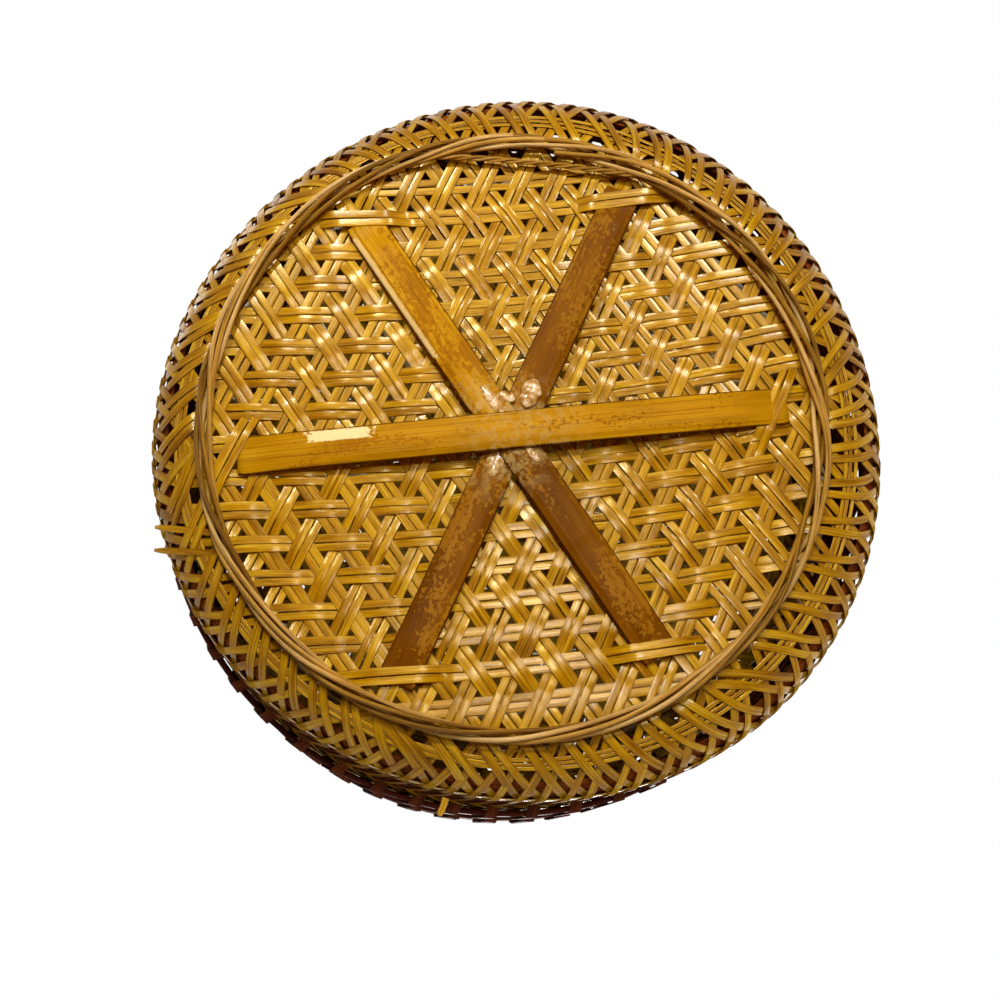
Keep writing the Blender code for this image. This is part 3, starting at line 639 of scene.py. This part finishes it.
def woven_family(line, family, rings, lift, flip=1.0, slats=True):
    """All the splints of one direction, as pulled strips. Each runs from rim to rim in one piece."""
    a = FAMILY_ANGLES[family]
    t, n = np.array([math.cos(a), math.sin(a)]), np.array([-math.sin(a), math.cos(a)])
    s_end = line["s"][-1]
    section = flat_section(SPLINT_WIDTH, SPLINT_THICKNESS)
    parts = []
    for row in range(-LAST_ROW, LAST_ROW + 1):
        crossings = levels_along(row, family)
        for half in (-1, 1):
            c = row * PITCH + half * PAIR_HALF
            w = c + n @ LATTICE_CENTRE
            number = 2 * abs(row) - (1 if row * half < 0 else 0)
            r0 = np.interp(TURN_START, line["s"], line["r"])
            reach = math.sqrt(r0 ** 2 - w ** 2)
            count = max(int(2 * reach / 2.4), 8)
            tau = np.linspace(-reach, reach, count)
            base = w * n + tau[:, None] * t
            base_r, base_angle = np.hypot(*base.T), np.arctan2(base[:, 1], base[:, 0])
            base_s = np.interp(base_r, line["r"][:180], line["s"][:180])
            ends = []
            for end in (-1, 1):
                side = math.copysign(1.0, c * end)
                ends.append(half_strand(line, family, w, side, end, number, rings, s_end))
            (s_a, angle_a, marks_a), (s_b, angle_b, marks_b) = ends
            s = np.concatenate([s_a[:0:-1], base_s, s_b[1:]])
            angle = np.concatenate([angle_a[:0:-1], base_angle, angle_b[1:]])
            flat, _ = on_sheet(line, s, angle, 0.0)
            length = np.concatenate([[0.0], np.cumsum(np.linalg.norm(np.diff(flat, axis=0), axis=1))])
            length -= length[len(s_a) - 1] + reach
            # The outward steps, in order along the splint
            middle = length[len(s_a) - 1:len(s_a) - 1 + count]
            shift = t @ LATTICE_CENTRE
            inner = crossings[np.abs(crossings[:, 0] + shift) < reach + 6.0]
            inner = np.column_stack([inner[:, 0] + shift, inner[:, 1]])
            low = np.interp(-marks_a[:, 0], -s[:len(s_a)], length[:len(s_a)])
            high = np.interp(marks_b[:, 0], s[-len(s_b):], length[-len(s_b):])
            steps = np.vstack([np.column_stack([low, marks_a[:, 1]])[::-1], inner, np.column_stack([high, marks_b[:, 1]])])
            steps = steps[np.argsort(steps[:, 0])]
            out = held(length, steps[:, 0], steps[:, 1])
            parts.append((s, angle, out, length, c, row, half))
    made = []
    for number, (s, angle, out, length, c, row, half) in enumerate(parts):
        angle = angle + soft_noise(length, 3, 45.0) * 0.16 / np.maximum(s, 30.0)
        out = out + soft_noise(length, 2, 30.0) * 0.05
        if slats and abs(row) == HOLDING_ROW:
            out = over_slats(line, s, angle, out, family)
        path, normal = on_sheet(line, s, angle, out, lift)
        if slats:
            path = bowed(path, s)
        # Painted shade: the splints darken from the flare up the wall, where the wall turns away from the lamps.
        painted_shade = 0.4 * smooth((s - 122.0) / 26.0) + 0.6 * smooth((s - 150.0) / 14.0)
        wide = 1.0 + 0.06 * soft_noise(length, 2, 40.0) + RANDOM.uniform(-0.08, 0.06)
        scale = np.stack([wide, np.ones_like(wide)], axis=1)
        made.append(pull(path, normal, section, number, scale=scale, painted_shade=painted_shade))
    return made


def over_slats(line, s, angle, out, family):
    """Lifts the splints of a holding row over the ends of the slats."""
    flat = bowed(on_sheet(line, s, angle, 0.0)[0], s)
    for turn, off, half, holder in SLATS.values():
        if holder != family:
            continue
        along = flat[:, 0] * math.cos(turn) + flat[:, 1] * math.sin(turn)
        across = -flat[:, 0] * math.sin(turn) + flat[:, 1] * math.cos(turn) - off
        near = (np.abs(along) > half - 14.0) & (np.abs(along) < half + 12.0)
        rise = smooth((19.0 - np.abs(across)) / 10.5) * near
        out = out + (HOLD_OUT - out) * rise
    return out


FAMILY_NAMES = ("level", "left", "right")
for tier, lift in (("lower", 0.0), ("upper", TIER_STEP)):
    for family, word in enumerate(FAMILY_NAMES):
        strips = woven_family(TIER_LINE, family, TIER_RINGS, lift)
        make_piece(f"{tier}_splints_{word}", strips, SPLINT, f"{tier}_tier",
                   (f"{tier}_weave",) if family == 0 else (), crisp=10, in_painted_shade=SPLINT_IN_PAINTED_SHADE)
for family, word in enumerate(FAMILY_NAMES):
    strips = woven_family(LID_LINE, family, LID_RINGS, 0.0, slats=False)
    make_piece(f"lid_splints_{word}", strips, SPLINT, "lid", ("lid_weave",) if family == 0 else (),
               crisp=10, in_painted_shade=SPLINT_IN_PAINTED_SHADE)

# %% Loose tips
def tip(points, number, width=2.6):
    """A splint's end that stands away from the weave: a strip along a curve through three points."""
    t = np.linspace(0.0, 1.0, 14)[:, None]
    a, b, c = (np.array(p, dtype=float) for p in points)
    path = (1 - t) ** 2 * a + 2 * t * (1 - t) * b + t ** 2 * c
    out = np.tile(unit(np.array([a[0], a[1], -150.0])), (len(path), 1))
    scale = np.ones((len(path), 2))
    scale[-3:, 0] = (0.9, 0.72, 0.5)
    return pull(path, out, flat_section(width, SPLINT_THICKNESS), number, scale=scale)


TIPS = (((117.0, -44.5, 6.2), (130.0, -43.0, 7.6), (140.6, -41.0, 12.4)),
        ((116.0, -52.6, 6.2), (129.0, -51.6, 7.6), (140.4, -50.2, 12.6)),
        ((26.0, -144.5, 17.5), (27.0, -148.0, 18.5), (28.5, -151.0, 19.5)),
        ((-27.0, 148.0, 24.0), (-30.0, 153.5, 25.0), (-35.0, 152.5, 30.0)),
        ((-146.5, -8.0, 18.0), (-149.0, -9.0, 20.0), (-150.5, -12.0, 22.0)))
make_piece("lower_loose_tips", [tip(points, i) for i, points in enumerate(TIPS)], SPLINT, "lower_tier",
           crisp=10)

# %% Bands of fine splints
def band(line, s, count, width, out, thickness, lift, first):
    """Fine splints side by side round the sheet, each with its own small wobble."""
    angle = np.arange(360) * ROUND / 360
    section = flat_section(width, thickness)
    parts = []
    for i in range(count):
        place = s + (i - (count - 1) / 2) * (width + 0.18) + round_noise(angle, 3, 6) * 0.22
        path, normal = on_sheet(line, place, angle, out + round_noise(angle, 9, 5) * 0.08, lift)
        parts.append(pull(path, normal, section, first + i, closed=True))
    return parts


for tier, lift in (("lower", 0.0), ("upper", TIER_STEP)):
    flare = band(TIER_LINE, 133.6, 3, 1.5, 0.75, 0.5, lift, 0)
    make_piece(f"{tier}_flare_band_splints", flare, SPLINT, f"{tier}_tier", (f"{tier}_flare_band",))
    shoulder = band(TIER_LINE, 151.5, 2, 1.4, 0.75, 0.5, lift, 10)
    make_piece(f"{tier}_shoulder_band_splints", shoulder, SPLINT, f"{tier}_tier", (f"{tier}_shoulder_band",))
    wall = band(TIER_LINE, 167.0, 4, 2.0, 0.0, 0.5, lift, 20) + band(TIER_LINE, 182.0, 4, 2.0, 0.0, 0.5, lift, 30)
    make_piece(f"{tier}_wall_bands", wall, MAROON, f"{tier}_tier")
    lining = band(TIER_LINE, 149.6, 3, 5.3, -1.35, 0.3, lift, 60)
    for i, s in enumerate((165.0, 180.6, 196.2)):
        lining += band(TIER_LINE, s, 1, 15.4, -1.25, 0.4, lift, 64 + i)
    make_piece(f"{tier}_wall_lining", lining, LINING, f"{tier}_tier", crisp=10)
lid_flare = band(LID_LINE, 136.0, 2, 1.6, 0.0, 0.5, 0.0, 40)
make_piece("lid_flare_band_splints", lid_flare, SPLINT, "lid")
lid_shoulder = band(LID_LINE, 151.5, 2, 1.4, 0.75, 0.5, 0.0, 50)
make_piece("lid_shoulder_band_splints", lid_shoulder, SPLINT, "lid", ("lid_shoulder_band",))

# %% Twisted foot rings
FOOT_LAPS, FOOT_TWISTS = 5, 27
FOOT_CANE = 1.95
FOOT_Z = 3.0


def foot_cane(lift):
    """One cane that runs five laps and twists about its own bundle, so that the laps lie 72 degrees apart.

    turn = twists / laps * angle; radius = ring + lay * cos(turn), height = centre + rise * sin(turn).
    """
    angle = np.linspace(math.radians(98), math.radians(92) + FOOT_LAPS * ROUND, 2600)
    turn = angle * FOOT_TWISTS / FOOT_LAPS + 0.35 * soft_noise(angle * FOOT_RADIUS, 4, 70.0)
    spread = np.cos((angle - math.radians(140)) / 2) ** 16
    lay = 2.35 + 1.6 * spread + 0.35 * soft_noise(angle * FOOT_RADIUS, 4, 90.0)
    radius = FOOT_RADIUS + lay * np.cos(turn) + soft_noise(angle * FOOT_RADIUS, 4, 120.0) * 0.35
    z = FOOT_Z + 1.98 * np.sin(turn)
    path = np.stack([radius * np.cos(angle), radius * np.sin(angle), z + lift], axis=1)
    out = np.stack([np.zeros_like(angle), np.zeros_like(angle), -np.ones_like(angle)], axis=1)
    wide = 0.98 + 0.10 * soft_noise(angle * FOOT_RADIUS, 3, 60.0)
    wide = np.minimum(wide, (FOOT_Z - 1.98) / (FOOT_CANE / 2))
    return pull(path, out, round_section(FOOT_CANE, 10), 0, scale=np.stack([wide, wide], axis=1))


def frayed_cane(lift):
    """The end of the cane, split in three fine strands that sag away from the ring and twist round each other."""
    strands = []
    u = np.linspace(0.0, 1.0, 160)
    angle = math.radians(74.0) + u * math.radians(42.0)
    for i in range(3):
        turn = u * 26.0 + i * ROUND / 3
        radius = FOOT_RADIUS - 2.0 - 6.5 * np.sin(math.pi * u) ** 0.8 + 0.75 * np.cos(turn)
        z = FOOT_Z + 0.6 + 0.75 * np.sin(turn) + 0.5 * np.sin(math.pi * u)
        path = np.stack([radius * np.cos(angle), radius * np.sin(angle), z + lift], axis=1)
        out = np.tile([0.0, 0.0, -1.0], (len(u), 1))
        strands.append(pull(path, out, round_section(1.1, 8), 3 + i))
    return strands


for tier, lift in (("lower", 0.0), ("upper", TIER_STEP)):
    make_piece(f"{tier}_foot_cane", [foot_cane(lift), *frayed_cane(lift)], CANE, f"{tier}_tier", (f"{tier}_foot_ring",))

# %% Slats
SLAT_WIDTH, SLAT_THICKNESS = 15.2, 2.2
SLAT_HIGH = {"outer": 4.96, "middle": 7.46, "inner": 9.96}


def slat_section():
    """A split slat: flat inside, with a wide bevel along each edge of its flat outer side."""
    return np.array([(-7.6, -0.9), (-7.35, -1.1), (7.35, -1.1), (7.6, -0.9), (7.6, 0.3), (7.3, 0.52),
                     (4.6, 1.1), (-4.6, 1.1), (-7.3, 0.52), (-7.6, 0.3)])


def slat(name, lift, node_at):
    """One slat, bowed from the sheet at its ends to its place in the stack at the middle.

    top = end + (middle - end) * (1 - (along / half) ^ 2)
    """
    turn, off, half, _ = SLATS[name]
    along = np.linspace(-half, half, 90)
    sheet_end = BASE_EDGE_Z + DISH * (1 - (half / BASE_RADIUS) ** 2) - 0.3
    top = sheet_end + (SLAT_HIGH[name] - sheet_end) * (1 - (along / half) ** 2)
    t, n = np.array([math.cos(turn), math.sin(turn)]), np.array([-math.sin(turn), math.cos(turn)])
    plan = along[:, None] * t + (off + soft_noise(along, 3, 160.0) * 0.25)[:, None] * n
    thin = 1.0 - 0.55 * smooth((np.abs(along) - (half - 17.0)) / 12.0)
    path = np.column_stack([plan, top - thin * SLAT_THICKNESS / 2 + lift])
    out = np.tile([0.0, 0.0, -1.0], (len(along), 1))
    ridge = 0.35 * np.exp(-((along - node_at) / 2.2) ** 2) - 0.2 * np.exp(-((along - node_at - 5.0) / 1.6) ** 2)
    round_end = np.sqrt(np.clip(1 - ((np.abs(along) - (half - 1.0)) / 1.0).clip(0, 1) ** 2 * 0.12, 0, 1))
    wide = (1.0 + 0.012 * soft_noise(along, 3, 90.0)) * round_end
    return pull(path, out, slat_section(), hash_number(name), scale=np.stack([wide, thin * (1.0 + ridge)], axis=1))


def hash_number(name):
    """A whole number for each slat, so that each has its own grain."""
    return {"outer": 3, "middle": 8, "inner": 15}[name]


for tier, lift in (("lower", 0.0), ("upper", TIER_STEP)):
    for name, node_at in (("outer", 400.0), ("middle", -51.0), ("inner", 400.0)):
        make_piece(f"{tier}_{name}_slat", [slat(name, lift, node_at)], SLAT_FINISHES[name], f"{tier}_tier",
                   (f"{tier}_slat_{name}",), crisp=10)


def blob(place, turn, length, width, height):
    """A run of dried lacquer: a flattened oval, sqrt(1 - t^2) wide and high along its length."""
    t = np.linspace(-0.995, 0.995, 24)
    x, y, z = place
    path = np.stack([x + t * length / 2 * math.cos(turn), y + t * length / 2 * math.sin(turn),
                     np.full_like(t, z)], axis=1)
    swell = np.sqrt(1 - t ** 2) * (1 + 0.12 * soft_noise(t * 10, 3, 6.0))
    out = np.tile([0.0, 0.0, -1.0], (len(t), 1))
    return pull(path, out, round_section(1.0, 16), scale=np.stack([swell * width, swell * height], axis=1))


RUNS = (((-6.4, 14.0, 7.0), 1.9, 13.0, 8.0, 2.8), ((9.0, 10.5, 5.4), 0.9, 15.0, 4.6, 1.8),
        ((3.6, 12.0, 5.6), 0.2, 8.0, 4.6, 1.8), ((7.6, -14.0, 7.6), 1.9, 15.0, 7.0, 2.2),
        ((-7.0, -11.6, 5.2), 0.9, 9.0, 3.0, 1.2))
for tier, lift in (("lower", 0.0), ("upper", TIER_STEP)):
    runs = [blob((x, y, z + lift), turn, length, width, height) for (x, y, z), turn, length, width, height in RUNS]
    make_piece(f"{tier}_lacquer_runs", runs, RESIN, f"{tier}_tier")

# %% Rims
def ring(radius, z, section, number=0, stations=240, wobble=0.0):
    """A ring with a section whose x runs along the axis and whose y runs outwards."""
    angle = np.arange(stations) * ROUND / stations
    r = radius + round_noise(angle, 3, 4) * wobble
    path = np.stack([r * np.cos(angle), r * np.sin(angle), np.full_like(angle, z)], axis=1)
    out = np.stack([np.cos(angle), np.sin(angle), np.zeros_like(angle)], axis=1)
    return pull(path, out, section, number, closed=True)


def hoop_of(node, number):
    """A bent hoop in the place of a solid, with softer edges."""
    low, high = box_mm(node)
    outside = high[0]
    middle, height = (low[2] + high[2]) / 2, high[2] - low[2]
    return ring(outside - 1.1, middle, block_section(height, 2.2, 0.45), number)


def lashing_path(edge, away, wraps=54, per_wrap=32):
    """The binding's route round hoops and filler: an eight-power oval that travels round the rim.

    |x / a| ^ 8 + |z / b| ^ 8 = 1 across the rim, and the angle round the axis grows evenly with the wraps.
    """
    a, b, centre = 4.6, 7.1, 146.19
    t = np.linspace(0, ROUND, 4000)
    oval = np.stack([a * np.sign(np.cos(t)) * np.abs(np.cos(t)) ** 0.25,
                     b * np.sign(np.sin(t)) * np.abs(np.sin(t)) ** 0.25], axis=1)
    run = np.concatenate([[0], np.cumsum(np.linalg.norm(np.diff(oval, axis=0), axis=1))])
    at = (np.arange(wraps * per_wrap) % per_wrap) / per_wrap * run[-1]
    x, z = np.interp(at, run, oval[:, 0]), np.interp(at, run, oval[:, 1])
    angle = np.arange(wraps * per_wrap) / (wraps * per_wrap) * ROUND
    angle += 0.25 * ROUND / wraps * round_noise(angle, 5, 4) * 0.3
    radius = centre + x
    path = np.stack([radius * np.cos(angle), radius * np.sin(angle), edge - away * (b - 0.4) + z], axis=1)
    nx, nz = np.sign(x) * np.abs(x / a) ** 7 / a, np.sign(z) * np.abs(z / b) ** 7 / b
    size = np.hypot(nx, nz)
    out = np.stack([nx / size * np.cos(angle), nx / size * np.sin(angle), nz / size], axis=1)
    return path, out


def make_rim(prefix, body, edge, away):
    """Hoops, filler cane and binding of one rim. Away is 1 where the edge is the rim's upper side."""
    make_piece(f"{prefix}_outer_hoop", [hoop_of(f"{prefix}_hoop_outer", 2)], HOOP, body,
               (f"{prefix}_hoop_outer",))
    make_piece(f"{prefix}_inner_hoop", [hoop_of(f"{prefix}_hoop_inner", 5)], HOOP, body,
               (f"{prefix}_hoop_inner",))
    low, high = box_mm(f"{prefix}_rim_cane")
    cane = ring(high[0] - 1.2, (low[2] + high[2]) / 2, round_section(2.4, 12), 1)
    make_piece(f"{prefix}_filler_cane", [cane], CANE, body, (f"{prefix}_rim_cane",))
    path, out = lashing_path(edge, away)
    wrap = pull(path, out, flat_section(5.0, 0.6), 4, closed=True)
    make_piece(f"{prefix}_binding", [wrap], LASHING, body, (f"{prefix}_rim_lashing",))


for prefix, body in (("lower", "lower_tier"), ("upper", "upper_tier")):
    make_rim(prefix, body, box_mm(f"{prefix}_hoop_outer")[1][2], 1.0)
make_rim("lid", "lid", box_mm("lid_hoop_outer")[0][2], -1.0)
make_piece("lid_locating_ring", [hoop_of("lid_locating_hoop", 9)], HOOP, "lid", ("lid_locating_hoop",))

# %% Camera, lamps and floor
camera_data = bpy.data.cameras.new("camera")
camera_data.lens = 51.168
camera_data.sensor_width = 36.0
camera_data.clip_start = 0.01
camera_data.clip_end = 50.0
camera = bpy.data.objects.new("camera", camera_data)
bpy.context.scene.collection.objects.link(camera)
forward = Vector((-0.03557, 0.24230, 0.96955)).normalized()
right = Vector((-0.99933, 0.0, -0.03666)).normalized()
up = right.cross(forward).normalized()
camera.matrix_world = Matrix(((right.x, up.x, -forward.x, 0.025663), (right.y, up.y, -forward.y, -0.165477),
                              (right.z, up.z, -forward.z, -0.534377), (0, 0, 0, 1)))
bpy.context.scene.camera = camera
bpy.context.scene.view_settings.view_transform = "Standard"


def lamp(name, place, aim, size, watts):
    """A square area lamp that points at a place. Positions in metres."""
    data = bpy.data.lights.new(name, "AREA")
    data.size = size
    data.energy = watts
    light = bpy.data.objects.new(name, data)
    light.location = place
    light.rotation_euler = (Vector(aim) - Vector(place)).to_track_quat("-Z", "Y").to_euler()
    bpy.context.scene.collection.objects.link(light)
    return light


lamp("left ceiling lamp", (0.12, 0.44, -0.77), (0, 0, 0), 0.09, 3.3)
lamp("right ceiling lamp", (-0.19, 0.42, -0.76), (0, 0, 0), 0.09, 2.1)
lamp("near ceiling lamp", (-0.06, 0.13, -0.86), (0, 0, 0), 0.09, 1.5)
lamp("fill from below", (-0.7, 0.5, -0.9), (0, 0, 0), 0.5, 0.9)
# In the photograph the mouth is open and light comes in through it. Here a weak lamp stands for it in the bowl.
inside = lamp("light in the bowl", (0, 0, 0.046), (0, 0, 0.1), 0.19, 0.016)
inside.data.color = (0.75, 0.88, 1.0)
inside.visible_camera = False
lamp("key from above", (-0.25, -0.3, 1.5), (0, 0, 0.08), 0.6, 14)
lamp("fill from above", (0.5, 0.4, 1.3), (0, 0, 0.08), 0.8, 4)
lamp("left side lamp", (1.7, 1.5, 0.7), (0, 0, 0.1), 1.2, 10)
lamp("right side lamp", (-1.7, -1.3, 0.7), (0, 0, 0.1), 1.2, 8)

world = bpy.data.worlds.new("soft room")
bpy.context.scene.world = world
world.use_nodes = True
tree = world.node_tree
light_path = add(tree, "ShaderNodeLightPath")
seen = math_node(tree, "MAXIMUM", light_path.outputs["Is Camera Ray"],
                 math_node(tree, "MAXIMUM", light_path.outputs["Is Glossy Ray"], light_path.outputs["Is Transmission Ray"]))
strength = math_node(tree, "MULTIPLY_ADD", seen, 0.8, 0.2)
tree.nodes["Background"].inputs["Color"].default_value = (1, 1, 1, 1)
tree.links.new(strength, tree.nodes["Background"].inputs["Strength"])

floor_mesh = bpy.data.meshes.new("floor")
floor_mesh.from_pydata([(-3, -3, -0.0005), (3, -3, -0.0005), (3, 3, -0.0005), (-3, 3, -0.0005)], [], [(0, 1, 2, 3)])
floor_finish, floor_tree, floor_shader = new_finish("pale floor")
floor_shader.inputs["Base Color"].default_value = linear("#EDEDEB")
floor_shader.inputs["Roughness"].default_value = 0.9
side_seen = add(floor_tree, "ShaderNodeNewGeometry")
clear = add(floor_tree, "ShaderNodeBsdfTransparent")
both = add(floor_tree, "ShaderNodeMixShader", links={"Fac": side_seen.outputs["Backfacing"]})
floor_tree.links.new(floor_shader.outputs[0], both.inputs[1])
floor_tree.links.new(clear.outputs[0], both.inputs[2])
floor_tree.links.new(both.outputs[0], floor_tree.nodes["Material Output"].inputs["Surface"])
floor_mesh.materials.append(floor_finish)
floor = bpy.data.objects.new("floor", floor_mesh)
floor.visible_shadow = False
bpy.context.scene.collection.objects.link(floor)
